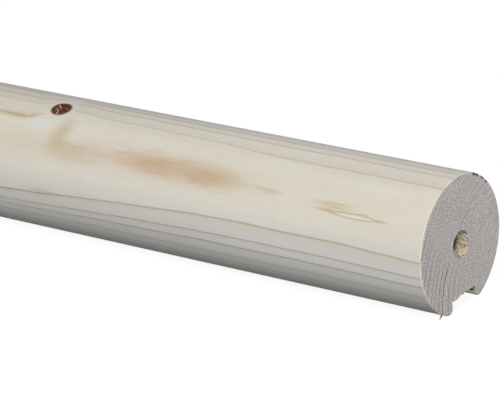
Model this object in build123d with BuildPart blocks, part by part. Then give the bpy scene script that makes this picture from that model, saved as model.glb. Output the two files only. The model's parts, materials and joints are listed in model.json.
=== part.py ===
from build123d import *

import os
from math import sqrt

# Round spruce handrail: one planed bar with a groove along its underside and a dowel bore in each end.
# Millimetres. +X runs along the rail, +Z is up, and the rail stands on the two rounded lips of its groove.
# The origin is under the middle of the rail, on the plane that the lips stand on.

# Driving dimensions
rail_length = 1500.0  # stock length, from sawn end to sawn end
rail_diameter = 50.0  # planed round
groove_width = 15.0  # between the groove's side walls
groove_depth = 6.5  # from the crown of the round up to the groove's floor
lip_radius = 2.0  # rounding where each groove wall runs out into the round
bore_diameter = 10.0  # dowel bore on the rail's axis
bore_depth = 50.0  # from the sawn end to the flat bottom of the bore
arris_width = 0.5  # sanded edge between the round and each sawn end

# Sizes that follow from them
rail_radius = rail_diameter / 2
lip_centre_offset = groove_width / 2 + lip_radius
lip_centre_drop = sqrt((rail_radius - lip_radius) ** 2 - lip_centre_offset**2)
axis_height = lip_centre_drop + lip_radius  # the rail's axis above the plane that the lips stand on
groove_floor_height = axis_height - rail_radius + groove_depth
end_x = rail_length / 2

with BuildPart() as handrail:
    # Section across the rail, drawn at the -X end: sketch x is the rail's Y, sketch y is its Z
    with BuildSketch(Plane.YZ.offset(-end_x)) as section:
        with Locations((0, axis_height)):
            Circle(rail_radius)
        with Locations((0, groove_floor_height)):
            Rectangle(groove_width, rail_radius, align=(Align.CENTER, Align.MAX), mode=Mode.SUBTRACT)
        lip_corners = section.vertices().group_by(Axis.Y)[0]
        fillet(lip_corners, radius=lip_radius)
    extrude(amount=rail_length)

    # Sanded arris at each sawn end: it follows the round and runs on over the lips and the groove's walls
    round_edges = handrail.edges().filter_by(GeomType.CIRCLE).group_by(SortBy.RADIUS)[-1]
    chamfer(round_edges, length=arris_width)

    # Dowel bore in each end, on the axis of the round
    for outward in (-1, 1):
        with Locations(Plane((outward * end_x, 0, axis_height), z_dir=(outward, 0, 0))):
            Hole(bore_diameter / 2, depth=bore_depth)

handrail.part.label = "handrail"

os.makedirs("parts", exist_ok=True)
export_step(handrail.part, "parts/handrail.step")

print(f"axis height {axis_height:.3f} mm, groove floor {groove_floor_height:.3f} mm above the stand")
print(f"volume {handrail.part.volume:.0f} mm3, valid {handrail.part.is_valid}")
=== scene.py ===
# %% [markdown]
# # A round spruce handrail
# The real thing is one bar of spruce: planed round, grooved along its underside, sawn off square and bored
# in each end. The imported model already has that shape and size. This lesson measures it, models the rail
# again with a mesh fine enough for saw marks, torn fibres and a knot, and then grows the wood's figure in
# shader nodes.

import json
from math import atan2, cos, degrees, exp, hypot, pi, radians, sin, sqrt, tau

import bmesh
import bpy
from mathutils import Matrix, Vector, noise


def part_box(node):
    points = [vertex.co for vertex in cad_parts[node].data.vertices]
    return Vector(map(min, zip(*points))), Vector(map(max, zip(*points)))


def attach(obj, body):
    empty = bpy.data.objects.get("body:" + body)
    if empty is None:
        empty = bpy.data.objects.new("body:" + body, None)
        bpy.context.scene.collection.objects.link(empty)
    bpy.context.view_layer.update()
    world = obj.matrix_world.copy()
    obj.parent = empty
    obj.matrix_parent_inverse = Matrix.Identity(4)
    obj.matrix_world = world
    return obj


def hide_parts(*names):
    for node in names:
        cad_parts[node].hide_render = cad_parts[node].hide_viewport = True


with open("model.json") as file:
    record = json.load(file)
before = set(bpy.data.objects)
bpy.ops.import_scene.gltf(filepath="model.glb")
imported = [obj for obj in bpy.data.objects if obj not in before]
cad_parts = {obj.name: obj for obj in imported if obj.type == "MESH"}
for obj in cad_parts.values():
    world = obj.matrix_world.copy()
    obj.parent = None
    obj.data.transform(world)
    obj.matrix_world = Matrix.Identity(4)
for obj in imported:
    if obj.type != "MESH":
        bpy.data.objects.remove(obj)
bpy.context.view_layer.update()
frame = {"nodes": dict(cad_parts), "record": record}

# %% [markdown]
# ## Sizes
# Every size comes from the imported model, so the fine mesh can't drift away from it. The record's mounts
# give the bores and the groove's floor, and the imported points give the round, the groove's width and the
# sanded arris. The lips' radius follows from them: a lip stands on the ground, touches the groove's wall
# and runs into the round without a corner.

# %% Measure the rail
MM = 0.001
hair = 0.01 * MM

mounts = {mount["name"]: mount for mount in frame["record"]["mounts"]}
half_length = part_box("handrail")[1].x
axis_height = mounts["bore_plus_x"]["pos_m"][2]
bore_radius = mounts["bore_plus_x"]["dims"]["r_mm"] * MM
bore_depth = mounts["bore_plus_x"]["dims"]["length_mm"] * MM
groove_floor = mounts["underside_groove"]["pos_m"][2]


def from_axis(point):
    return hypot(point.y, point.z - axis_height)


cad_points = [vert.co for vert in frame["nodes"]["handrail"].data.vertices]
rail_radius = max(from_axis(point) for point in cad_points)
arris = half_length - max(point.x for point in cad_points if from_axis(point) > rail_radius - hair)
groove_half = min(abs(point.y) for point in cad_points if abs(point.z - groove_floor) < 5 * hair)
lip_slope = groove_half - axis_height + rail_radius
lip_radius = sqrt(lip_slope**2 + rail_radius**2 - groove_half**2 - axis_height**2) - lip_slope
print(f"radius {rail_radius / MM:.2f}, arris {arris / MM:.2f} mm")
print(f"groove {2 * groove_half / MM:.2f}, lip {lip_radius / MM:.2f} mm")

# %% [markdown]
# ## Camera
# A long lens looks down on the sawn end from the front right, a little tilted, and the rail runs out of the
# picture on the left. The camera could be dragged into place by eye. Here it is placed by what was
# measured: the direction it looks in, its distance, and the pixel where the middle of the sawn end appears.

# %% Place the camera
picture_width, picture_height = 500, 400
end_pixel = (461.0, 244.5)
focal_pixels = 3072.5
view_azimuth, view_elevation, view_roll = radians(38.14), radians(22.88), radians(-5.29)
view_distance = 1.0498


def heading(azimuth, elevation):
    """A direction that points away from the rail, with azimuth 0 in front of it and 90 degrees at +X."""
    level = cos(elevation)
    return Vector((sin(azimuth) * level, -cos(azimuth) * level, sin(elevation)))


end_centre = Vector((half_length, 0, axis_height))
backward = heading(view_azimuth, view_elevation)
level = Vector((0, 0, 1)).cross(backward).normalized()
upright = backward.cross(level)
rightward = level * cos(view_roll) + upright * sin(view_roll)
upward = backward.cross(rightward)
metres_per_pixel = view_distance / focal_pixels
aim = end_centre - rightward * (end_pixel[0] - picture_width / 2) * metres_per_pixel
aim += upward * (end_pixel[1] - picture_height / 2) * metres_per_pixel

camera = bpy.data.objects.new("camera", bpy.data.cameras.new("camera"))
bpy.context.scene.collection.objects.link(camera)
camera.data.sensor_width = 36
camera.data.lens = focal_pixels * camera.data.sensor_width / picture_width
camera.data.clip_start, camera.data.clip_end = 0.05, 100
camera.matrix_world = Matrix.Translation(aim + backward * view_distance) @ (
    Matrix((rightward, upward, backward)).transposed().to_4x4()
)
bpy.context.scene.camera = camera
print(f"lens {camera.data.lens:.1f} mm, camera at", tuple(round(x, 3) for x in camera.location))

# %% [markdown]
# ## The outline across the rail
# On the real rail a moulding cutter makes this outline in one pass: the round, the groove and the soft lips
# between them. It could be typed as a list of points, but a corner would then be easy to miss. Here one
# vertex is drawn along it: straight runs by extruding, round stretches by spinning about a line along X.

# %% Draw the outline
rail = bmesh.new()
way_round = rail.verts.layers.float.new("way_round")
lip_y = groove_half + lip_radius
lip_angle = atan2(axis_height - lip_radius, lip_y)
wall_height = groove_floor - lip_radius
round_parts, lip_parts, wall_parts, floor_parts = 240, 8, 5, 48


def straight(vert, move, parts):
    """Extrudes a vertex along a straight run, and gives back the run's last vertex."""
    for _ in range(parts):
        vert = bmesh.ops.extrude_vert_indiv(rail, verts=[vert])["verts"][0]
        bmesh.ops.translate(rail, verts=[vert], vec=Vector(move) / parts)
    return vert


def arc(vert, centre_y, centre_z, turn, parts):
    """Spins a vertex about a line along X, and gives back the arc's last vertex."""
    centre = (0, centre_y, centre_z)
    made = bmesh.ops.spin(rail, geom=[vert], cent=centre, axis=(1, 0, 0), angle=turn, steps=parts)
    return made["geom_last"][0]


pen = bmesh.ops.create_vert(rail, co=(half_length - arris, groove_half, groove_floor))["vert"][0]
pen = straight(pen, (0, 0, -wall_height), wall_parts)
pen = arc(pen, lip_y, lip_radius, pi - lip_angle, lip_parts)
pen = arc(pen, 0, axis_height, pi + 2 * lip_angle, round_parts)
pen = arc(pen, -lip_y, lip_radius, pi - lip_angle, lip_parts)
pen = straight(pen, (0, 0, wall_height), wall_parts)
pen = straight(pen, (0, 2 * groove_half, 0), floor_parts)
bmesh.ops.remove_doubles(rail, verts=rail.verts, dist=0.1 * hair)
rail.verts.index_update()
outline = rail.edges[:]
outline_parts = len(outline)
for vert in rail.verts:
    vert[way_round] = (vert.index + floor_parts / 2) / outline_parts
print("outline of", outline_parts, "edges, closed:", all(len(vert.link_edges) == 2 for vert in rail.verts))

# %% [markdown]
# ## The length of the rail
# The planer pushes the bar straight through its cutters, so the side is the outline drawn along X. One long
# extrusion would do for the shape, but the knot, the resin pocket and the torn end need loops close
# together, so each stretch is drawn with its own number of parts. A spin with no turn and a step along X
# draws them all.

# %% Draw the outline along the rail
whole_length = 2 * half_length
rim_reach, end_reach = 3.5 * MM, 9.5 * MM
pocket_end, knot_along, knot_reach = 62 * MM, 169.5 * MM, 7 * MM
stretches = (
    (rim_reach, 6),
    (end_reach, 6),
    (pocket_end, 35),
    (knot_along - knot_reach, 8),
    (knot_along + knot_reach, 24),
    (whole_length - end_reach, 32),
    (whole_length - rim_reach, 4),
    (whole_length - arris, 6),
)


def verts_of(loop):
    """The vertices of a loop of edges, each once."""
    return list(dict.fromkeys(vert for edge in loop for vert in edge.verts))


def run(loop, distance, parts):
    """Draws a loop of edges out along X in equal parts, and gives back the last loop."""
    step = (distance / parts, 0, 0)
    geom = verts_of(loop) + loop
    made = bmesh.ops.spin(rail, geom=geom, cent=(0, 0, 0), axis=(1, 0, 0), dvec=step, angle=0, steps=parts)
    return [part for part in made["geom_last"] if isinstance(part, bmesh.types.BMEdge)]


far_outline, reached = outline, arris
for stop, parts in stretches:
    far_outline = run(far_outline, reached - stop, parts)
    reached = stop
print("side of", len(rail.faces), "faces")

# %% [markdown]
# ## Sanded arris
# Sandpaper takes the sharp arris off the round, but it doesn't reach into the groove. A bevel would run all
# the way round. So the loop is drawn out to the end in three short steps, and each step pulls in only the
# vertices that lie on the round.

# %% Round the arris over
arris_parts = 3


def round_share(point):
    """1 on the round, falling to 0 over a lip and staying there in the groove."""
    if point.z > axis_height:
        return 1.0
    return min(1.0, max(0.0, (abs(point.y) - groove_half) / lip_radius))


def round_over(loop, outward):
    """Draws a loop out to the end in small steps that round the arris over."""
    for part in range(arris_parts):
        before, after = (quarter / arris_parts * pi / 2 for quarter in (part, part + 1))
        loop = run(loop, outward * arris * (sin(after) - sin(before)), 1)
        for vert in verts_of(loop):
            spoke = Vector((0, vert.co.y, vert.co.z - axis_height)).normalized()
            vert.co -= spoke * arris * (cos(before) - cos(after)) * round_share(vert.co)
    return loop


near_rim, far_rim = round_over(outline, 1), round_over(far_outline, -1)
print("rims at", [round(rim[0].verts[0].co.x, 4) for rim in (near_rim, far_rim)])

# %% [markdown]
# ## Sawn ends and bores
# A saw cuts the bar off square, and a drill makes the bore. Each end grows out of its rim: the loop is drawn
# inwards, first onto a circle that clears the groove and then onto the bore's mouth, and from there down
# the bore. A bridge from the rim straight to the bore would be shorter to write, but its faces would cross
# the groove. Every vertex remembers how far round the outline it was drawn, so it knows its place on each
# circle.

# %% Close the ends
end_parts = 21
clear_radius = 0.85 * (axis_height - groove_floor)
bore_stretches = ((3 * MM, 8), (12 * MM, 11), (bore_depth, 5))


def draw_in(loop, radius, parts):
    """Draws a loop inwards over the end in equal parts, onto a circle about the axis."""
    starts = {vert[way_round]: vert.co.copy() for vert in verts_of(loop)}
    for part in range(1, parts + 1):
        loop = run(loop, 0, 1)
        for vert in verts_of(loop):
            turn = vert[way_round] * tau
            circle = Vector((vert.co.x, sin(turn) * radius, axis_height - cos(turn) * radius))
            vert.co = starts[vert[way_round]].lerp(circle, part / parts)
    return loop


def close_end(loop, outward):
    """Fills and bores one end."""
    loop = draw_in(loop, clear_radius, end_parts)
    loop = draw_in(loop, bore_radius, end_parts)
    depth = 0
    for stop, parts in bore_stretches:
        loop = run(loop, -outward * (stop - depth), parts)
        depth = stop
    bmesh.ops.edgeloop_fill(rail, edges=loop)


close_end(near_rim, 1)
close_end(far_rim, -1)
bmesh.ops.recalc_face_normals(rail, faces=rail.faces)
open_edges = [edge for edge in rail.edges if len(edge.link_faces) != 2]
end_faces = [face for face in rail.faces if half_length - abs(face.calc_center_median().x) < hair]
folded = [face for face in end_faces if abs(face.normal.x) < 0.9]
print("rail of", len(rail.faces), "faces, open edges:", len(open_edges), "folded faces:", len(folded))
print(f"volume {rail.calc_volume() * 1e6:.1f} cm3")

# %% [markdown]
# ## Which tool left which face
# The planer, the saw, the groove cutter and the drill each leave another surface, so each gets a material
# slot. The faces could be chosen by hand in the editor. Here their place decides, while the mesh is still
# smooth.

# %% Sort the faces
PLANED, SAWN, ROUTED, BORED = range(4)


def surface_of(face):
    """The tool that left a face."""
    centre = face.calc_center_median()
    if from_axis(centre) < bore_radius and abs(centre.x) < half_length - hair:
        return BORED
    if abs(face.normal.x) > 0.8:
        return SAWN
    if abs(centre.y) < groove_half + hair and centre.z < groove_floor + hair:
        return ROUTED
    return PLANED


def verts_on(surface):
    """All the vertices that one tool's faces use."""
    return {vert for face in rail.faces if face.material_index == surface for vert in face.verts}


for face in rail.faces:
    face.material_index = surface_of(face)
    face.smooth = True
print("faces by surface:", [sum(face.material_index == kind for face in rail.faces) for kind in range(4)])

# %% [markdown]
# ## Relief
# The saw leaves shallow arcs and a fuzz of cut fibres, a few hundredths of a millimetre deep. Bump alone
# could fake them, but the light then skips the small shadows at the rim. So the vertices are moved by
# smooth noise, which is the same each time it is asked.

# %% Rough up the sawn ends
saw_centre = Vector((0.02, axis_height + 0.13))
saw_pitch = 1.15 * MM
arc_depth, fuzz_depth = 0.03 * MM, 0.05 * MM


def wander(point, size, seed=0.0):
    """Smooth noise from -1 to 1 whose bumps are about size across."""
    return noise.noise(Vector(point) / size + Vector((seed, seed, seed)))


sawn_verts = verts_on(SAWN)
for vert in sawn_verts:
    outward = 1 if vert.co.x > 0 else -1
    reach = (Vector((vert.co.y, vert.co.z)) - saw_centre).length
    arcs = 0.5 + 0.5 * sin(reach / saw_pitch * tau + 2 * wander(vert.co, 6 * MM))
    fuzz = 0.5 + 0.5 * wander(vert.co, 0.8 * MM)
    vert.co.x -= outward * (arc_depth * arcs + fuzz_depth * fuzz)
print("sawn ends roughened:", len(sawn_verts), "vertices")

# %% [markdown]
# A drill in softwood tears more than it cuts, and the torn fibres lean with its turn. The bore's wall shows
# against the light, so it is torn in the mesh too, by noise on a slanted copy of the unrolled wall. The
# tearing fades out at the mouth, which stays round, and at the bottom.

# %% Tear the bores
tear_depth = 0.16 * MM
mouth_share, mouth_reach, bottom_reach = 0.35, 1.5 * MM, 5 * MM

bored_verts = verts_on(BORED)
for vert in bored_verts:
    depth = half_length - abs(vert.co.x)
    spoke = Vector((0, vert.co.y, vert.co.z - axis_height))
    turn = atan2(spoke.y, spoke.z) * bore_radius
    slant = Vector((depth * 0.9 + turn, (turn - depth) * 0.35, 0))
    torn = wander(slant, 0.55 * MM, 3.1) + 0.6 * wander(slant, 1.4 * MM, 7.7)
    hold = min(1.0, (bore_depth - depth) / bottom_reach) * min(1.0, mouth_share + depth / mouth_reach)
    vert.co += spoke.normalized() * tear_depth * torn * hold
print("bores torn:", len(bored_verts), "vertices")

# %% [markdown]
# The saw broke through into the groove and left its upper edge ragged. A line of noise lifts and drops that
# edge at the near end. Each vertex follows by how close it is to the edge, and the corners stay put.

# %% Tear the groove's edge at the near end
edge_reach, edge_height, corner_reach = 2.5 * MM, 1.6 * MM, 1.2 * MM


def edge_share(point):
    """1 on the groove's upper edge at the near end, falling to 0 around it."""
    inside = (half_length - point.x) / edge_reach
    above = abs(point.z - groove_floor) / edge_height
    from_corner = (groove_half - abs(point.y)) / corner_reach
    if inside > 1 or above > 1 or from_corner < hair / corner_reach:
        return 0.0
    return (1 - inside) * (1 - above) * min(1.0, from_corner)


ragged_verts = [vert for vert in verts_on(SAWN) | verts_on(ROUTED) if edge_share(vert.co)]
for vert in ragged_verts:
    side = (vert.co.y, 0, 0)
    ragged = 0.4 * wander(side, 1.6 * MM, 2.3) + 0.9 * wander(side, 0.8 * MM, 5.9)
    vert.co.z += ragged * MM * edge_share(vert.co)
print("groove's edge torn:", len(ragged_verts), "vertices")

# %% [markdown]
# ## Damage and growth marks
# A drying crack follows one ring of the near end, the saw has chipped the rim in four places, and on the
# side a knot, a resin pocket and a nick lie a little below the planed round. They could be cut as holes,
# but they are shallower than a fingernail, so the vertices there are only pushed in. Each place is given as
# it is found on the rail: millimetres from the near end, and millimetres over the round from its crown,
# positive towards the back.

# %% Sink the crack, the chips, the knot, the pocket and the nick
damage_reach = 180
pith_y, pith_z = 28.5, -24.4
crack_radius, crack_from, crack_to = 42.2, 152, 177
crack_depth, crack_half = 0.25, 0.35
chips = ((11.3, 1.2), (13.4, 0.9), (17.1, 0.9), (20.2, 1.3))
chip_depth, chip_reach = 0.2, 1.2
pocket_place, pocket_size = (28.8, -25.1), (9.6, 0.66)
nick_place, nick_size = (56.5, -3.3), (2.2, 0.6)
sunk_marks = (
    ((knot_along / MM, -5.0), (4.4, 3.7), 0.12),
    (pocket_place, pocket_size, 0.14),
    (nick_place, nick_size, 0.16),
)


def hollow(offset, size):
    """1 in the middle of an oval, falling smoothly to 0 at its rim."""
    away = hypot(offset[0] / size[0], offset[1] / size[1])
    return (1 - away * away) ** 2 if away < 1 else 0.0


near_verts = [vert for vert in rail.verts if (half_length - vert.co.x) / MM < damage_reach]
for vert in near_verts:
    along = (half_length - vert.co.x) / MM
    spoke = Vector((0, vert.co.y, vert.co.z - axis_height))
    across, height, radius = spoke.y / MM, spoke.z / MM, spoke.length / MM
    around = atan2(across, height) * rail_radius / MM
    rim = along + rail_radius / MM - radius
    for chip_around, chip_half in chips:
        chip = hollow((rim, around - chip_around), (chip_reach, chip_half))
        vert.co -= (spoke.normalized() + Vector((0.8, 0, 0))) * chip_depth * MM * chip
    if along < 0.3:
        ring = hypot(across - pith_y, height - pith_z) - crack_radius
        bearing = degrees(atan2(height - pith_z, across - pith_y))
        if crack_from < bearing < crack_to:
            vert.co.x -= crack_depth * MM * exp(-((ring / crack_half) ** 2))
    elif radius > 24.5:
        sunk = sum(deep * hollow((along - at[0], around - at[1]), size) for at, size, deep in sunk_marks)
        vert.co -= spoke.normalized() * sunk * MM
print("damage laid over", len(near_verts), "vertices")

# %% [markdown]
# Where the crack runs out at the lip, the saw pulled a splinter loose, which hangs below the rail. It could
# be a piece of its own, but it still holds on to the wood. So one face of the rim is extruded three times,
# each time narrower and turned further down.

# %% Lift the splinter
splinter_around, splinter_along = -64.2, 0.8
splinter_turn = splinter_around * MM / rail_radius
splinter_steps = (
    ((0.0, -0.1, -0.5), 0.8),
    ((-0.1, -0.5, -0.55), 0.6),
    ((-0.2, -0.6, -0.45), 0.15),
)
root = end_centre + Vector(
    (-splinter_along * MM, sin(splinter_turn) * rail_radius, cos(splinter_turn) * rail_radius)
)
splinter = min(rail.faces, key=lambda face: (face.calc_center_median() - root).length)
for move, narrow in splinter_steps:
    splinter = bmesh.ops.extrude_discrete_faces(rail, faces=[splinter])["faces"][0]
    centre = splinter.calc_center_median()
    bmesh.ops.scale(rail, vec=(narrow,) * 3, space=Matrix.Translation(-centre), verts=splinter.verts)
    bmesh.ops.translate(rail, vec=Vector(move) * MM, verts=splinter.verts)
    for face in {face for vert in splinter.verts for face in vert.link_faces}:
        face.material_index = SAWN
bmesh.ops.recalc_face_normals(rail, faces=rail.faces)
print("splinter tip", (splinter.calc_center_median() - root) / MM, "mm from its root")

# %% [markdown]
# ## From bmesh to a piece
# Shading is smooth except over real corners, which are marked sharp by their angle. The finished mesh goes
# into an object that sits at the origin, unturned, so the wood's figure can be read from its Object
# coordinates.

# %% Make the rail's object
sharp_from = radians(35)
for edge in rail.edges:
    edge.smooth = edge.calc_face_angle(0) < sharp_from
rail_mesh = bpy.data.meshes.new("spruce_rail")
rail.to_mesh(rail_mesh)
rail.free()
spruce_rail = bpy.data.objects.new("spruce_rail", rail_mesh)
bpy.context.scene.collection.objects.link(spruce_rail)
print("triangles:", sum(len(face.vertices) - 2 for face in rail_mesh.polygons))

# %% [markdown]
# ## Helpers for shader nodes
# A material is a tree of nodes. Wiring each one by hand takes many lines, so a few short helpers add a
# node, feed its sockets with a value or another node's output, and hand back what comes out of it. The
# first ones reckon with numbers and points.

# %% Helpers that reckon
def feed(tree, socket, value):
    """Links an output to a socket, or sets the socket's own value."""
    if isinstance(value, bpy.types.NodeSocket):
        tree.links.new(value, socket)
    else:
        socket.default_value = value


def calc(tree, operation, *values):
    node = tree.nodes.new("ShaderNodeMath")
    node.operation = operation
    for socket, value in zip(node.inputs, values):
        feed(tree, socket, value)
    return node.outputs[0]


def product(tree, first, *others):
    """All the values multiplied, such as masks that have to hold at once."""
    for other in others:
        first = calc(tree, "MULTIPLY", first, other)
    return first


def vector_calc(tree, operation, *values):
    node = tree.nodes.new("ShaderNodeVectorMath")
    node.operation = operation
    for socket, value in zip(node.inputs, values):
        feed(tree, socket, value)
    return node.outputs["Value" if operation in ("LENGTH", "DOT_PRODUCT") else "Vector"]


def split(tree, point):
    node = tree.nodes.new("ShaderNodeSeparateXYZ")
    feed(tree, node.inputs[0], point)
    return node.outputs


def join(tree, x, y):
    node = tree.nodes.new("ShaderNodeCombineXYZ")
    feed(tree, node.inputs[0], x)
    feed(tree, node.inputs[1], y)
    return node.outputs[0]


print("numbers and points can be reckoned with")

# %% [markdown]
# The next ones make masks and colours. A mask is a number from 0 to 1 that says how much of a colour is laid
# on at a point. A smooth step makes one out of any measure, and noise makes an uneven one.

# %% Helpers for masks and colours
def rise(tree, value, low, high, most=1.0):
    """0 below low and most above high, with a smooth step between. With low above high it falls."""
    node = tree.nodes.new("ShaderNodeMapRange")
    node.interpolation_type = "SMOOTHSTEP"
    for name, number in (("Value", value), ("From Min", low), ("From Max", high), ("To Max", most)):
        feed(tree, node.inputs[name], number)
    return node.outputs[0]


def blend(tree, share, below, above):
    """One colour laid over another: a share of 0 leaves the colour below, and 1 covers it."""
    node = tree.nodes.new("ShaderNodeMix")
    node.data_type = "RGBA"
    for socket, value in zip((node.inputs[0], node.inputs[6], node.inputs[7]), (share, below, above)):
        feed(tree, socket, value)
    return node.outputs[2]


def speckle(tree, point, size, detail):
    """Noise from 0 to 1 whose bumps are size millimetres along X, Y and Z."""
    node = tree.nodes.new("ShaderNodeTexNoise")
    node.inputs["Scale"].default_value = 1.0
    node.inputs["Detail"].default_value = detail
    feed(tree, node.inputs["Vector"], vector_calc(tree, "DIVIDE", point, size))
    return node.outputs["Fac"]


def srgb(red, green, blue):
    """A colour as a picture editor writes it, from 0 to 255, in the linear light that nodes use."""
    shares = (part / 255 for part in (red, green, blue))
    return (*(s / 12.92 if s <= 0.04045 else ((s + 0.055) / 1.055) ** 2.4 for s in shares), 1.0)


print("pale spruce in linear light is", [round(part, 3) for part in srgb(233, 224, 207)])

# %% [markdown]
# The last two make a node group and place it. A group is built once and used in several materials, so the
# same rings run through all of them.

# %% Helpers for groups
def new_group(name, inputs, outputs):
    """A node group with named sockets: its tree, what comes in and what goes out."""
    tree = bpy.data.node_groups.new(name, "ShaderNodeTree")
    kinds = {float: "NodeSocketFloat", tuple: "NodeSocketVector"}
    for label, value in inputs.items():
        socket = tree.interface.new_socket(label, in_out="INPUT", socket_type=kinds[type(value)])
        socket.default_value = value
    for label, kind in outputs.items():
        tree.interface.new_socket(label, in_out="OUTPUT", socket_type=kinds[kind])
    return tree, tree.nodes.new("NodeGroupInput").outputs, tree.nodes.new("NodeGroupOutput").inputs


def use(tree, group, **values):
    """Places a group. An underscore in a value's name stands for the space in the socket's label."""
    node = tree.nodes.new("ShaderNodeGroup")
    node.node_tree = group
    for name, value in values.items():
        feed(tree, node.inputs[name.replace("_", " ")], value)
    return node.outputs


print("node groups so far:", len(bpy.data.node_groups))

# %% [markdown]
# ## The wood's figure
# A tree grows in thin cones, one inside the other, about its pith. A rail sawn out of it cuts through those
# cones, so the lines on its side and the arcs on its end are the same rings. They could be painted on each
# face, but they would not meet at the edges. Here one field in space gives them all, and it starts from a
# group that says where on the rail a point is.

# %% Where a point is on the rail
place_group, place_in, place_out = new_group(
    "place_on_rail", {"Object": (0.0, 0.0, 0.0)}, {"Point": tuple, "Along": float, "Around": float}
)
from_end = vector_calc(place_group, "SUBTRACT", place_in["Object"], tuple(end_centre))
in_mm = vector_calc(place_group, "MULTIPLY", from_end, (-1 / MM, 1 / MM, 1 / MM))
along, across, height = split(place_group, in_mm)
feed(place_group, place_out["Point"], in_mm)
feed(place_group, place_out["Along"], along)
turn = calc(place_group, "ARCTAN2", across, height)
feed(place_group, place_out["Around"], calc(place_group, "MULTIPLY", turn, rail_radius / MM))
print("place_on_rail: millimetres from the near end, and over the round from its crown")

# %% [markdown]
# The rings aren't quite level with the rail. They taper along it, and the trunk swelled over the foot of a
# branch, so the lines drop below the knot on one side of it and climb towards it on the other. One group
# adds up these shifts, in millimetres of ring radius: one for the lower side, one for the crown.

# %% How the growth shifts along the rail
swell_group, swell_in, swell_out = new_group("swelling", {"Point": (0.0, 0.0, 0.0)}, {"Shift": float})
along, across, height = split(swell_group, swell_in["Point"])

low_side = product(swell_group, rise(swell_group, height, 21.0, 6.0), rise(swell_group, height, -16.0, -3.0))
fall = product(swell_group, rise(swell_group, along, 75.0, 250.0), rise(swell_group, along, 480.0, 280.0))
flare = rise(swell_group, along, 50.0, 0.0, 0.3)
low_shift = product(swell_group, low_side, calc(swell_group, "MULTIPLY_ADD", fall, 3.5, flare))

high_side = rise(swell_group, height, 17.0, 21.0)
climb = product(swell_group, rise(swell_group, along, 70.0, 112.0), rise(swell_group, across, 4.0, -9.0))
up_to_knot = rise(swell_group, along, 146.0, 162.0, 0.45)
drop = product(swell_group, rise(swell_group, along, 162.0, 182.0), rise(swell_group, along, 380.0, 190.0))
high_shift = calc(swell_group, "MULTIPLY_ADD", climb, 0.75, up_to_knot)
high_shift = calc(swell_group, "MULTIPLY_ADD", drop, -2.25, high_shift)
feed(swell_group, swell_out["Shift"], calc(swell_group, "MULTIPLY_ADD", high_side, high_shift, low_shift))
print("swelling:", len(swell_group.nodes), "nodes for the rings' shift along the rail")

# %% [markdown]
# The years themselves are uneven, wide in a wet summer and narrow in a dry one. A wave with one pitch would
# look like corduroy. So the distance from the pith, which lies outside the rail, is looked up in a curve
# through the years' ring radii. It gives back a count of years, whose fraction is the season: pale wood in
# spring, and a thin dark line of latewood just before the next year starts.

# %% Growth rings
pith = (0.0, pith_y, pith_z)
inner_radius, outer_radius = 8.0, 84.0
ring_radii = (
    10.0, 13.2, 15.0, 18.9, 21.2, 25.0, 26.8, 30.6, 32.8, 36.3, 39.2, 42.3, 45.3, 48.0, 50.1, 53.0, 55.95,
    57.85, 60.4, 67.2, 70.0, 72.9, 75.4, 78.3, 81.0,
)
ring_group, ring_in, ring_out = new_group(
    "growth_rings",
    {"Point": (0.0, 0.0, 0.0), "Shift": 0.0},
    {"Latewood": float, "Season": float, "Radius": float},
)
waver = speckle(ring_group, ring_in["Point"], (45.0, 16.0, 16.0), 2.0)
ripple = speckle(ring_group, ring_in["Point"], (16.0, 14.0, 14.0), 1.0)
waver = calc(ring_group, "MULTIPLY_ADD", ripple, 0.45, waver)
waver = calc(ring_group, "MULTIPLY", calc(ring_group, "SUBTRACT", waver, 0.725), 0.7)
flat_point = vector_calc(ring_group, "MULTIPLY", ring_in["Point"], (0.0, 1.0, 1.0))
pith_distance = vector_calc(ring_group, "LENGTH", vector_calc(ring_group, "SUBTRACT", flat_point, pith))
grown = calc(ring_group, "ADD", calc(ring_group, "ADD", pith_distance, waver), ring_in["Shift"])

calendar = ring_group.nodes.new("ShaderNodeFloatCurve")
curve = calendar.mapping.curves[0]
span = outer_radius - inner_radius
for year, radius in enumerate(ring_radii, start=1):
    curve.points.new((radius - inner_radius) / span, year / (len(ring_radii) + 1))
for point in curve.points:
    point.handle_type = "VECTOR"
calendar.mapping.update()
share = calc(ring_group, "DIVIDE", calc(ring_group, "SUBTRACT", grown, inner_radius), span)
feed(ring_group, calendar.inputs["Value"], share)
years = calc(ring_group, "MULTIPLY", calendar.outputs[0], float(len(ring_radii) + 1))
season = calc(ring_group, "FRACT", years)
line_end = rise(ring_group, season, 1.0, 0.975)
line = product(ring_group, rise(ring_group, season, 0.87, 0.955), line_end)
soft = product(ring_group, rise(ring_group, season, 0.45, 0.97), line_end)
latewood = calc(ring_group, "MULTIPLY_ADD", soft, 0.22, calc(ring_group, "MULTIPLY", line, 0.78))
feed(ring_group, ring_out["Latewood"], latewood)
feed(ring_group, ring_out["Season"], season)
feed(ring_group, ring_out["Radius"], grown)
print("growth_rings:", len(ring_radii), "years, from", ring_radii[0], "to", ring_radii[-1], "mm")

# %% [markdown]
# ## Knots
# A knot is the foot of a branch that the trunk grew around. It could be a round stain on the side, but a
# branch starts thin near the pith and runs straight out, so one slender cone in space gives the knot its
# place on the surface and its size.

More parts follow.
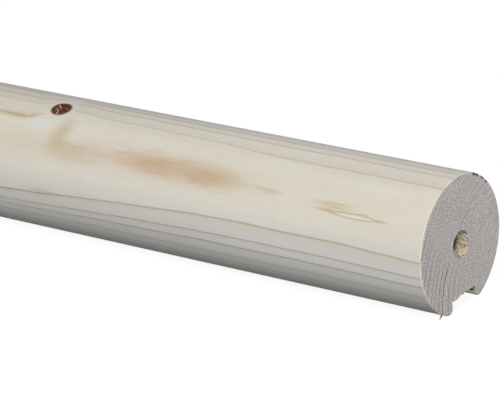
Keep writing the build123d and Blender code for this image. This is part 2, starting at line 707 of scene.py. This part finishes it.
# %% A branch
first_reach, surface_reach, knot_stretch = 20.0, 59.3, 1.16
branch_group, branch_in, branch_out = new_group(
    "branch",
    {"Point": (0.0, 0.0, 0.0), "Along": 0.0, "Heading": (0.0, 0.0, 1.0), "Size": 4.0},
    {"Distance": float},
)
from_pith = vector_calc(branch_group, "SUBTRACT", branch_in["Point"], pith)
beside = vector_calc(branch_group, "MULTIPLY", from_pith, (0.0, 1.0, 1.0))
reach = vector_calc(branch_group, "DOT_PRODUCT", beside, branch_in["Heading"])
crossed = vector_calc(branch_group, "CROSS_PRODUCT", beside, branch_in["Heading"])
sideways = vector_calc(branch_group, "LENGTH", crossed)
lengthways = calc(branch_group, "SUBTRACT", split(branch_group, branch_in["Point"])[0], branch_in["Along"])
lengthways = calc(branch_group, "DIVIDE", lengthways, knot_stretch)
squares = calc(branch_group, "MULTIPLY", sideways, sideways)
squares = calc(branch_group, "MULTIPLY_ADD", lengthways, lengthways, squares)
girth = calc(branch_group, "SUBTRACT", reach, first_reach)
girth = calc(branch_group, "DIVIDE", girth, surface_reach - first_reach)
girth = product(branch_group, calc(branch_group, "MAXIMUM", girth, 0.01), branch_in["Size"])
off_axis = calc(branch_group, "SQRT", squares)
feed(branch_group, branch_out["Distance"], calc(branch_group, "DIVIDE", off_axis, girth))
print("branch: 0 on its axis, 1 at its bark")

# %% [markdown]
# ## Marks on the surface
# Stains, streaks, chips and the resin pocket are all patches with a place, a length and a height on the
# unrolled side. One group measures how far a point is from the middle of such a patch, so each mark is one
# node. It also gives a pointed distance, which makes the lens of the resin pocket.

# %% A patch
patch_group, patch_in, patch_out = new_group(
    "patch",
    {
        "Along": 0.0,
        "Around": 0.0,
        "Centre Along": 0.0,
        "Centre Around": 0.0,
        "Half Length": 10.0,
        "Half Height": 2.0,
        "Slant": 0.0,
    },
    {"Distance": float, "Pointed": float, "Mask": float},
)
beyond = calc(patch_group, "SUBTRACT", patch_in["Along"], patch_in["Centre Along"])
aside = calc(patch_group, "SUBTRACT", patch_in["Around"], patch_in["Centre Around"])
aside = calc(patch_group, "SUBTRACT", aside, calc(patch_group, "MULTIPLY", beyond, patch_in["Slant"]))
beyond = calc(patch_group, "DIVIDE", beyond, patch_in["Half Length"])
aside = calc(patch_group, "DIVIDE", aside, patch_in["Half Height"])
squares = calc(patch_group, "MULTIPLY_ADD", beyond, beyond, calc(patch_group, "MULTIPLY", aside, aside))
distance = calc(patch_group, "SQRT", squares)
pointed = calc(patch_group, "MULTIPLY_ADD", beyond, beyond, calc(patch_group, "ABSOLUTE", aside))
feed(patch_group, patch_out["Distance"], distance)
feed(patch_group, patch_out["Pointed"], pointed)
feed(patch_group, patch_out["Mask"], rise(patch_group, distance, 1.0, 0.0))


def patch(tree, along, around, centre, half, slant=0.0):
    """Places a patch: its centre and half sizes are millimetres along the rail and over the round."""
    return use(
        tree, patch_group, Along=along, Around=around, Centre_Along=centre[0], Centre_Around=centre[1],
        Half_Length=half[0], Half_Height=half[1], Slant=slant,
    )


print("patch: 1 in its middle, 0 at its rim")

# %% [markdown]
# ## Four surfaces of one wood
# The planed side, the sawn ends, the groove and the bores are the same wood, so their materials start in
# the same way: a shader, the place on the rail, and the growth rings there. What each tool did to the
# surface is laid over that.

# %% Start a material
def start_material(name):
    """A new slot of the rail: its tree, its shader and the place on the rail."""
    material = bpy.data.materials.new(name)
    material.use_nodes = True
    tree = material.node_tree
    shader = next(node for node in tree.nodes if node.type == "BSDF_PRINCIPLED")
    place = use(tree, place_group, Object=tree.nodes.new("ShaderNodeTexCoord").outputs["Object"])
    spruce_rail.data.materials.append(material)
    return tree, shader, place


def rings_at(tree, place):
    """The growth rings at a place on the rail."""
    shift = use(tree, swell_group, Point=place["Point"])["Shift"]
    return use(tree, ring_group, Point=place["Point"], Shift=shift)


def bump(tree, shader, height, strength, depth_mm):
    """Roughens a shader's surface by a height from 0 to 1."""
    node = tree.nodes.new("ShaderNodeBump")
    node.inputs["Strength"].default_value = strength
    node.inputs["Distance"].default_value = depth_mm * MM
    feed(tree, node.inputs["Height"], height)
    feed(tree, shader.inputs["Normal"], node.outputs["Normal"])


print("materials share", [group.name for group in bpy.data.node_groups])

# %% [markdown]
# ## The planed side
# Planed spruce is pale and a little warm, and clouded, with fine fibre streaks and flecks. One flat colour
# would look like plastic. So the spring wood's colour comes first, and noise of three sizes varies it:
# long clouds, thin fibres along the rail and short flecks.

# %% The clear wood
tree, shader, place = start_material("planed_spruce")
rings = rings_at(tree, place)
along = place["Along"]
across, height = split(tree, place["Point"])[1:]
fibres = speckle(tree, place["Point"], (38.0, 0.5, 0.5), 3.0)
cloud = speckle(tree, place["Point"], (40.0, 7.0, 7.0), 3.0)
fleck = speckle(tree, place["Point"], (1.3, 0.8, 0.8), 2.0)

colour = blend(tree, rise(tree, rings["Season"], 0.1, 1.0, 0.3), srgb(233, 224, 207), srgb(225, 210, 187))
colour = blend(tree, rise(tree, cloud, 0.35, 0.7, 0.45), colour, srgb(227, 216, 196))
colour = blend(tree, rise(tree, fibres, 0.4, 0.75, 0.16), colour, srgb(204, 191, 172))
colour = blend(tree, rise(tree, fleck, 0.42, 0.62, 0.26), colour, srgb(238, 234, 226))
print("planed_spruce, clear wood:", len(tree.nodes), "nodes")

# %% [markdown]
# The tone also drifts over the bar: paler on the crown and near the end. Low on the front it turns a cooler
# grey, and on the shoulder behind the crown a plain grey: both are painted shade, where the round turns away
# from the light. A painter would glaze these areas one over the other, and so does this cell. Each tone has
# a few masks, and shows where all of them hold.

# %% The drift of its tone
# Painted shade: a cooler grey low on the front, and grey on the shoulder behind the crown.
painted_low_front_shade = (rise(tree, height, 14.0, -2.0, 0.52), rise(tree, across, 2.0, -8.0))
upper_front = (rise(tree, height, 22.0, 18.5), rise(tree, height, 8.0, 13.0, 0.2))
near_crown = (
    rise(tree, across, -9.0, -1.0), rise(tree, height, 14.0, 20.0), rise(tree, along, 190.0, 60.0, 0.65),
)
shoulder = product(tree, rise(tree, across, 17.0, 11.0), rise(tree, height, 12.0, 20.0))
painted_far_shoulder_shade = (
    shoulder, rise(tree, across, -1.0, 9.0), rise(tree, along, -60.0, 190.0, 0.55),
    rise(tree, along, 330.0, 220.0),
)
painted_near_shoulder_shade = (shoulder, rise(tree, across, 2.5, 7.0), rise(tree, along, 150.0, 20.0, 0.5))
near_belly = (
    rise(tree, height, 2.0, -3.0), rise(tree, height, -13.0, -6.0), rise(tree, along, 110.0, 60.0, 0.4),
)
for masks, tone in (
    (painted_low_front_shade, srgb(222, 219, 214)),
    (upper_front, srgb(214, 202, 184)),
    (near_crown, srgb(247, 237, 223)),
    (painted_far_shoulder_shade, srgb(189, 187, 187)),
    (painted_near_shoulder_shade, srgb(209, 210, 208)),
    (near_belly, srgb(238, 236, 228)),
):
    colour = blend(tree, product(tree, *masks), colour, tone)
print("planed_spruce, with its tones:", len(tree.nodes), "nodes")

# %% [markdown]
# The latewood lines are laid over the tones. Where the planer cut the rings on the flat, at the middle of
# the front, a line is faint and wide. Where it cut them steeply, it is thin and clear. So their strength is
# set by the place on the round, and their brown turns greyer at the crown and low on the belly.

# %% The latewood lines
strength = calc(tree, "ADD", rise(tree, height, 17.0, 9.0, 0.27), rise(tree, height, 2.0, -3.0, 0.16))
strength = calc(tree, "SUBTRACT", strength, rise(tree, height, -7.0, -10.0, 0.28))
crown = product(tree, rise(tree, across, -6.0, -1.0), rise(tree, height, 17.0, 22.0))
strength = calc(tree, "MULTIPLY_ADD", crown, 0.32, strength)
past_knot = rise(tree, along, 173.0, 181.0, 0.2)
dip = product(tree, rise(tree, height, 17.0, 20.0), rise(tree, height, 24.3, 23.3), past_knot)
strength = calc(tree, "ADD", calc(tree, "ADD", strength, dip), 0.28)
strength = product(tree, strength, calc(tree, "ADD", rise(tree, across, 15.0, 8.0, 0.5), 0.5))
late_colour = blend(tree, rise(tree, height, 3.0, -4.0), srgb(178, 150, 112), srgb(158, 130, 92))
late_colour = blend(tree, rise(tree, height, -5.5, -8.0), late_colour, srgb(150, 139, 120))
late_colour = blend(tree, crown, late_colour, srgb(164, 148, 132))
colour = blend(tree, product(tree, rings["Latewood"], strength), colour, late_colour)
print("planed_spruce, with its lines:", len(tree.nodes), "nodes")

# %% [markdown]
# A cutter that ran hot left a burnt graze, brown and soft-edged, and streaked along the fibres. One big
# patch would be too even. It is built up out of overlapping ones whose rims are made uneven by noise, each
# a thin glaze of the same brown, and two smoother smears lie below the knot.

# %% The graze
grazes = (
    ((117.0, -21.3), (25.0, 6.2), 0.64),
    ((92.0, -21.6), (20.0, 5.6), 0.68),
    ((94.5, -24.0), (8.0, 2.4), 0.25),
    ((106.0, -20.8), (50.0, 9.0), 0.40),
    ((145.0, -21.6), (22.0, 8.0), 0.22),
    ((69.0, -21.8), (12.0, 1.2), 0.30),
    ((65.0, -22.5), (6.5, 1.8), 0.40),
    ((155.5, -22.4), (16.0, 6.8), 0.40),
    ((176.0, -22.0), (26.0, 9.0), 0.20),
    ((186.0, -12.3), (13.0, 2.2), 0.58),
    ((166.0, -39.4), (10.0, 1.4), 0.40),
    ((178.6, -10.6), (2.6, 3.0), 0.40),
)
smears = (((161.4, -14.2), (5.6, 6.4), 0.40), ((162.8, -19.0), (6.2, 7.4), 0.36))
graze_colour, smear_colour = srgb(198, 164, 122), srgb(190, 164, 118)
around = place["Around"]
streaks = rise(tree, speckle(tree, place["Point"], (22.0, 0.9, 0.9), 3.0), 0.25, 0.75)
ragged = calc(tree, "SUBTRACT", speckle(tree, place["Point"], (9.0, 2.0, 2.0), 3.0), 0.5)
streaked = calc(tree, "MULTIPLY_ADD", streaks, 0.3, 0.75)
for centre, half, most in grazes:
    distance = calc(tree, "MULTIPLY_ADD", ragged, 0.55, patch(tree, along, around, centre, half)["Distance"])
    stain = product(tree, rise(tree, distance, 1.05, 0.05), most, streaked)
    colour = blend(tree, stain, colour, graze_colour)
for centre, half, most in smears:
    distance = calc(tree, "MULTIPLY_ADD", ragged, 0.2, patch(tree, along, around, centre, half)["Distance"])
    colour = blend(tree, rise(tree, distance, 1.05, 0.05, most), colour, smear_colour)
print("graze of", len(grazes), "patches and", len(smears), "smears")

# %% [markdown]
# A resin pocket is a flat blister between two rings. The planer opened it: a pale lens with a brown rim,
# whose resin bled along the fibres above it. The pointed distance draws the lens, and thin patches draw its
# tails. The nick near the crown is a fresh dent, so it shows the palest wood.

# %% The resin pocket and the nick
pocket = patch(tree, along, around, pocket_place, pocket_size)["Pointed"]
pocket_rim = product(tree, rise(tree, pocket, 0.75, 1.0), rise(tree, pocket, 2.0, 1.1))
pocket_tails = (((40.4, -24.7), (6.0, 0.8)), ((18.6, -25.1), (6.0, 0.8)), ((25.4, -23.9), (4.5, 0.6)))
for centre, half in pocket_tails:
    pocket_rim = calc(tree, "MAXIMUM", pocket_rim, patch(tree, along, around, centre, half)["Mask"])
colour = blend(tree, product(tree, pocket_rim, 0.62), colour, srgb(188, 160, 112))
colour = blend(tree, rise(tree, pocket, 0.95, 0.6, 0.9), colour, srgb(237, 223, 213))
above_pocket = patch(tree, along, around, (37.5, -23.0), (15.0, 2.9), -0.03)["Mask"]
bleed = product(tree, above_pocket, calc(tree, "MULTIPLY_ADD", streaks, 0.9, 0.15))
colour = blend(tree, bleed, colour, srgb(202, 176, 128))
nick = patch(tree, along, around, nick_place, nick_size)["Distance"]
colour = blend(tree, rise(tree, nick, 1.1, 0.6, 0.8), colour, srgb(244, 243, 240))
print("resin pocket with", len(pocket_tails), "tails, and a nick")

# %% [markdown]
# The knot is dark heartwood with a few pale cracks, and the wood that grew tightly round it is paler than
# the rest. The branch's distance shades it from its heart to its rim, so it stays one thing with the grain.

# %% The knot
knot_heading, knot_girth = (0.0, -0.565, 0.825), 3.7
knot_distance = use(
    tree, branch_group, Point=place["Point"], Along=knot_along / MM, Heading=knot_heading, Size=knot_girth
)["Distance"]
halo = product(tree, rise(tree, knot_distance, 1.9, 1.25), rise(tree, knot_distance, 0.9, 1.05), 0.75)
colour = blend(tree, halo, colour, srgb(234, 222, 212))
for centre, half in (((174.5, -14.5), (9.0, 5.5)), ((168.5, 0.5), (7.5, 5.5))):
    pale = product(tree, patch(tree, along, around, centre, half)["Mask"], 0.5)
    colour = blend(tree, pale, colour, srgb(230, 229, 222))
knot_noise = speckle(tree, place["Point"], (1.6, 1.6, 1.6), 3.0)
heart = blend(tree, rise(tree, knot_noise, 0.38, 0.62), srgb(66, 38, 26), srgb(124, 78, 50))
heart = blend(tree, rise(tree, knot_distance, 0.78, 1.0, 0.7), heart, srgb(136, 90, 62))
knot_cracks = (
    ((171.2, -3.7), (1.5, 0.5), 0.73),
    ((170.7, -6.1), (1.1, 0.5), 0.92),
    ((169.6, -7.9), (0.5, 1.4), 0.0),
)
for centre, half, slant in knot_cracks:
    crack = rise(tree, patch(tree, along, around, centre, half, slant)["Distance"], 1.0, 0.5, 0.8)
    heart = blend(tree, crack, heart, srgb(206, 182, 166))
colour = blend(tree, rise(tree, knot_distance, 1.12, 0.86), colour, heart)
print("knot", knot_along / MM, "mm from the end, with", len(knot_cracks), "cracks")

# %% [markdown]
# Last come the rim's marks. Sandpaper leaves the arris paler than the round, and the saw's chips are dark.
# Both are placed by the distance to the rim, which is the same on the round and on the end, so they carry
# on round the edge.

# %% The rim, and the planed shader
chip_colour = srgb(72, 58, 52)


def inward(tree, place):
    """Millimetres in from the planed round."""
    across, height = split(tree, place["Point"])[1:]
    squares = calc(tree, "MULTIPLY_ADD", across, across, calc(tree, "MULTIPLY", height, height))
    return calc(tree, "SUBTRACT", rail_radius / MM, calc(tree, "SQRT", squares))


def chip_marks(tree, place, colour):
    """Lays the dark chips of the rim over a colour."""
    rim = calc(tree, "ADD", place["Along"], inward(tree, place))
    for chip_around, chip_half in chips:
        chip = patch(tree, rim, place["Around"], (0.2, chip_around), (1.1, 1.3 * chip_half))["Distance"]
        colour = blend(tree, rise(tree, chip, 1.0, 0.6, 0.9), colour, chip_colour)
    return colour


# The pale strip on the arris: sanded fuzz, and a painted highlight where the arris catches the light.
colour = blend(tree, rise(tree, along, 0.55, 0.25, 0.3), colour, srgb(236, 232, 224))
colour = chip_marks(tree, place, colour)
feed(tree, shader.inputs["Base Color"], colour)
feed(tree, shader.inputs["Roughness"], calc(tree, "MULTIPLY_ADD", fibres, 0.2, 0.65))
shader.inputs["Specular IOR Level"].default_value = 0.08
bump(tree, shader, calc(tree, "MULTIPLY_ADD", rings["Latewood"], 0.5, fibres), 0.25, 0.05)
print("planed_spruce:", len(tree.nodes), "nodes")

# %% [markdown]
# ## The sawn end
# End grain drinks light: it is greyer and darker than the side, speckled with cut fibres. The rings show as
# fine dark arcs, strongest low on the left, and as light and dark strokes at the right. Noise on plain
# coordinates makes the speckle, and noise on coordinates that bend with the rings makes the strokes.

# %% The sawn end grain
tree, shader, place = start_material("sawn_end_grain")
rings = rings_at(tree, place)
coarse = speckle(tree, place["Point"], (1.0, 0.85, 0.42), 3.0)
fine = speckle(tree, place["Point"], (0.4, 0.6, 0.26), 1.0)
colour = blend(tree, rise(tree, coarse, 0.41, 0.59), srgb(172, 162, 159), srgb(236, 227, 224))
colour = blend(tree, rise(tree, fine, 0.42, 0.66, 0.75), colour, srgb(234, 229, 224))
lower_left = vector_calc(tree, "DOT_PRODUCT", place["Point"], (0.0, -0.8, -0.6))
lower_left = calc(tree, "ADD", rise(tree, lower_left, 4.0, 18.0, 0.7), 0.22)
colour = blend(tree, product(tree, rings["Latewood"], lower_left), colour, srgb(112, 100, 96))

across, height = split(tree, vector_calc(tree, "SUBTRACT", place["Point"], pith))[1:]
bearing = calc(tree, "ARCTAN2", height, across)
along_ring = join(tree, rings["Radius"], calc(tree, "MULTIPLY", bearing, crack_radius))
strokes = speckle(tree, along_ring, (0.5, 6.0, 1.0), 2.0)
right = vector_calc(tree, "DOT_PRODUCT", place["Point"], (0.0, 0.85, 0.53))
drawn = calc(tree, "ADD", rise(tree, right, 1.0, 15.0, 0.7), 0.15)
colour = blend(tree, product(tree, rise(tree, strokes, 0.5, 0.62), drawn), colour, srgb(236, 229, 224))
colour = blend(tree, product(tree, rise(tree, strokes, 0.42, 0.3, 0.5), drawn), colour, srgb(146, 136, 132))
print("sawn_end_grain, speckle and rings:", len(tree.nodes), "nodes")

# %% [markdown]
# Wood dries faster at its end and shrinks most along the rings, so one ring has opened into a crack. The
# mesh is already sunk there. The colour follows the same ring radius and bearing, so the two meet, and a
# fainter stretch of the same ring shows above the bore. The splinter lies outside the round, and its dark
# colour is painted shade, for it hangs in the shade below the lip.

# %% The drying crack, and the sawn shader
cracks = ((crack_from, crack_to, 0.2, 0.9), (112, 134, 0.16, 0.5))
gap = calc(tree, "ABSOLUTE", calc(tree, "SUBTRACT", rings["Radius"], crack_radius))
near_end = rise(tree, place["Along"], 2.0, 1.0)
for start, stop, width, most in cracks:
    opened = rise(tree, bearing, radians(start - 3), radians(start + 3))
    closed = rise(tree, bearing, radians(stop + 2), radians(stop - 2))
    crack = product(tree, near_end, opened, closed, rise(tree, gap, width, width * 0.4, most))
    colour = blend(tree, crack, colour, srgb(72, 62, 58))
colour = chip_marks(tree, place, colour)
# Painted shade: the splinter, outside the round, is painted dark.
painted_splinter_shade = rise(tree, inward(tree, place), 0.05, -0.25, 0.8)
colour = blend(tree, painted_splinter_shade, colour, srgb(92, 80, 72))
feed(tree, shader.inputs["Base Color"], colour)
shader.inputs["Roughness"].default_value = 0.85
shader.inputs["Specular IOR Level"].default_value = 0.15
bump(tree, shader, calc(tree, "ADD", coarse, fine), 0.5, 0.12)
print("sawn_end_grain:", len(tree.nodes), "nodes")

# %% [markdown]
# ## The groove and the bores
# Both are cut through fresh wood and stay warmer than the sawn end. The groove cutter leaves a plain planed
# face. Near each end the groove is painted dark, deeper in and just under its ceiling: painted shade, in
# place of the shadow that the ceiling casts there. It is laid on by depth, so it shows under any light.

# %% The routed groove
def end_depth(tree, place):
    """Millimetres from the nearer end of the rail."""
    from_middle = calc(tree, "ABSOLUTE", calc(tree, "SUBTRACT", place["Along"], half_length / MM))
    return calc(tree, "SUBTRACT", half_length / MM, from_middle)


tree, shader, place = start_material("routed_groove")
rings = rings_at(tree, place)
fibres = speckle(tree, place["Point"], (24.0, 0.6, 0.6), 3.0)
colour = blend(tree, rise(tree, fibres, 0.35, 0.7), srgb(220, 212, 199), srgb(200, 189, 173))
colour = blend(tree, product(tree, rings["Latewood"], 0.5), colour, srgb(172, 150, 122))
depth = end_depth(tree, place)
# Painted shade: darker deeper in and just under the groove's ceiling, near each end, where its shadow falls.
below = calc(tree, "SUBTRACT", (groove_floor - axis_height) / MM, split(tree, place["Point"])[2])
corner = calc(tree, "MULTIPLY_ADD", below, -0.28, depth)
painted_groove_shade = product(tree, rise(tree, corner, -0.2, 1.0, 0.9), rise(tree, depth, 60.0, 15.0))
colour = blend(tree, painted_groove_shade, colour, srgb(72, 60, 50))
feed(tree, shader.inputs["Base Color"], colour)
shader.inputs["Roughness"].default_value = 0.75
shader.inputs["Specular IOR Level"].default_value = 0.2
bump(tree, shader, fibres, 0.3, 0.06)
print("routed_groove:", len(tree.nodes), "nodes")

# %% [markdown]
# The drill tears its wall into light and dark fibres that lean with its turn, and leaves pale fluff in
# between. Deeper in, the wall is painted browner and then nearly black: painted shade, where the light falls
# off inside the bore. Plain noise has no direction, so it is laid on the unrolled wall, turned a little and
# drawn out. Its seam, at the foot of the bore, is lost among the fibres.

# %% The bored wall
wall_lean = 0.45
tree, shader, place = start_material("bored_wall")
depth = end_depth(tree, place)
turned = calc(tree, "MULTIPLY", place["Around"], bore_radius / rail_radius)
with_turn = calc(tree, "MULTIPLY_ADD", depth, wall_lean, turned)
with_depth = calc(tree, "MULTIPLY_ADD", turned, -wall_lean, depth)
torn = speckle(tree, join(tree, with_turn, with_depth), (0.9, 2.2, 1.0), 4.0)
fluff = speckle(tree, place["Point"], (0.7, 0.55, 0.55), 2.0)
colour = blend(tree, rise(tree, torn, 0.44, 0.58), srgb(238, 228, 210), srgb(172, 142, 108))
colour = blend(tree, rise(tree, fluff, 0.52, 0.62, 0.85), colour, srgb(252, 247, 238))
# Painted shade: browner, then nearly black, deeper into the bore.
colour = blend(tree, rise(tree, depth, 1.5, 5.0, 0.4), colour, srgb(164, 130, 96))
colour = blend(tree, rise(tree, depth, 3.9, 5.7, 0.96), colour, srgb(50, 33, 22))
feed(tree, shader.inputs["Base Color"], colour)
shader.inputs["Roughness"].default_value = 0.85
shader.inputs["Specular IOR Level"].default_value = 0.15
bump(tree, shader, torn, 0.5, 0.15)
print("bored_wall:", len(tree.nodes), "nodes")

# %% [markdown]
# ## Floor, backdrop and light
# The rail lies on a plain white floor, big enough to reach past the edge of any view. One square does.

# %% The floor
floor_mesh = bpy.data.meshes.new("floor")
floor_bmesh = bmesh.new()
bmesh.ops.create_grid(floor_bmesh, x_segments=1, y_segments=1, size=40)
floor_bmesh.to_mesh(floor_mesh)
floor_bmesh.free()
floor = bpy.data.objects.new("floor", floor_mesh)
bpy.context.scene.collection.objects.link(floor)
print("floor", tuple(floor.dimensions), "m")

# %% [markdown]
# A floor that is white because it is strongly lit would also light the rail from below. So the camera sees
# it at white, while the light that bounces off it stays modest, and the underside of the round keeps its
# shade. The floor's own lit part is kept in what the camera sees, so the rail's shadow shows. From below
# the floor is clear.

# %% The floor's paint
floor_bounce, floor_shade, floor_white = (0.095, 0.11, 0.132, 1.0), 0.25, 0.86


def grey(level):
    return (level, level, level, 1.0)


def shader_node(tree, kind, colour):
    """A shader of one colour."""
    node = tree.nodes.new(kind)
    node.inputs["Color"].default_value = colour
    return node.outputs[0]


def mix_shaders(tree, share, below, above):
    node = tree.nodes.new("ShaderNodeMixShader")
    for socket, value in zip(node.inputs, (share, below, above)):
        feed(tree, socket, value)
    return node.outputs[0]


def seen_rays(tree):
    """1 for rays that show the background: from the camera, in a reflection or through something clear."""
    rays = tree.nodes.new("ShaderNodeLightPath").outputs
    mirrored = calc(tree, "MAXIMUM", rays["Is Glossy Ray"], rays["Is Transmission Ray"])
    return calc(tree, "MAXIMUM", rays["Is Camera Ray"], mirrored)


floor_paint = bpy.data.materials.new("white_floor")
floor_paint.use_nodes = True
tree = floor_paint.node_tree
tree.nodes.clear()
seen = tree.nodes.new("ShaderNodeAddShader")
feed(tree, seen.inputs[0], shader_node(tree, "ShaderNodeBsdfDiffuse", grey(floor_shade)))
feed(tree, seen.inputs[1], shader_node(tree, "ShaderNodeEmission", grey(floor_white)))
bounced = shader_node(tree, "ShaderNodeBsdfDiffuse", floor_bounce)
surface = mix_shaders(tree, seen_rays(tree), bounced, seen.outputs[0])
from_below = tree.nodes.new("ShaderNodeNewGeometry").outputs["Backfacing"]
clear = shader_node(tree, "ShaderNodeBsdfTransparent", grey(1.0))
output = tree.nodes.new("ShaderNodeOutputMaterial")
feed(tree, output.inputs["Surface"], mix_shaders(tree, from_below, surface, clear))
floor.data.materials.append(floor_paint)
print("floor at white", floor_white, "plus its lit part, and", floor_bounce[:3], "for what bounces")

# %% [markdown]
# The backdrop is the world itself: white where the camera sees it, and a dim cool grey for the light it
# gives, as in a room with pale walls further off.

# %% The backdrop's light
sky_colour = (0.141, 0.163, 0.194, 1.0)
world = bpy.data.worlds.new("studio")
bpy.context.scene.world = world
world.use_nodes = True
tree = world.node_tree
tree.nodes.clear()
sky = shader_node(tree, "ShaderNodeBackground", sky_colour)
white = shader_node(tree, "ShaderNodeBackground", grey(1.0))
output = tree.nodes.new("ShaderNodeOutputWorld")
feed(tree, output.inputs["Surface"], mix_shaders(tree, seen_rays(tree), sky, white))
print("backdrop gives", sky_colour[:3])

# %% [markdown]
# Most of the light comes from the camera's side, out of a big warm softbox at the right and a weaker cool
# one in front. Three faint ones, from above, from behind and from the far end, keep the other sides
# readable. Each is set by how bright it makes a white card that faces it, because a lamp's watts say little
# until its distance is known.

# %% The lamps
lamp_target = Vector((half_length - 0.1, 0, axis_height))


def softbox(name, azimuth, elevation, card_level, tint=(1.0, 1.0, 1.0), distance=4.0, size=2.4):
    """A square lamp that lights a white card facing it to card_level."""
    toward = heading(radians(azimuth), radians(elevation))
    lamp = bpy.data.lights.new(name, "AREA")
    lamp.shape, lamp.size, lamp.color = "SQUARE", size, tint
    lamp.energy = card_level * pi**2 * distance**2
    holder = bpy.data.objects.new(name, lamp)
    bpy.context.scene.collection.objects.link(holder)
    holder.visible_camera = False
    holder.matrix_world = Matrix.Translation(lamp_target + toward * distance) @ (
        toward.to_track_quat("Z", "Y").to_matrix().to_4x4()
    )
    print(f"{name}: {lamp.energy:.1f} W")


softbox("key", 48, 29, 0.745, (1.02, 1.0, 0.955))
softbox("side_fill", 0, 33, 0.255, (0.93, 0.99, 1.08))
softbox("top_fill", 20, 78, 0.034)
softbox("back_fill", 180, 3, 0.28, (1.04, 1.0, 0.93), size=0.4)
softbox("far_fill", 262, 5, 0.38, (1.02, 1.0, 0.96), distance=8.0, size=1.2)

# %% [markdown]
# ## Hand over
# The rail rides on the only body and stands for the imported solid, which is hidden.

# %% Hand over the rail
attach(spruce_rail, "root")
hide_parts("handrail")

bpy.context.scene.view_settings.view_transform = "Standard"
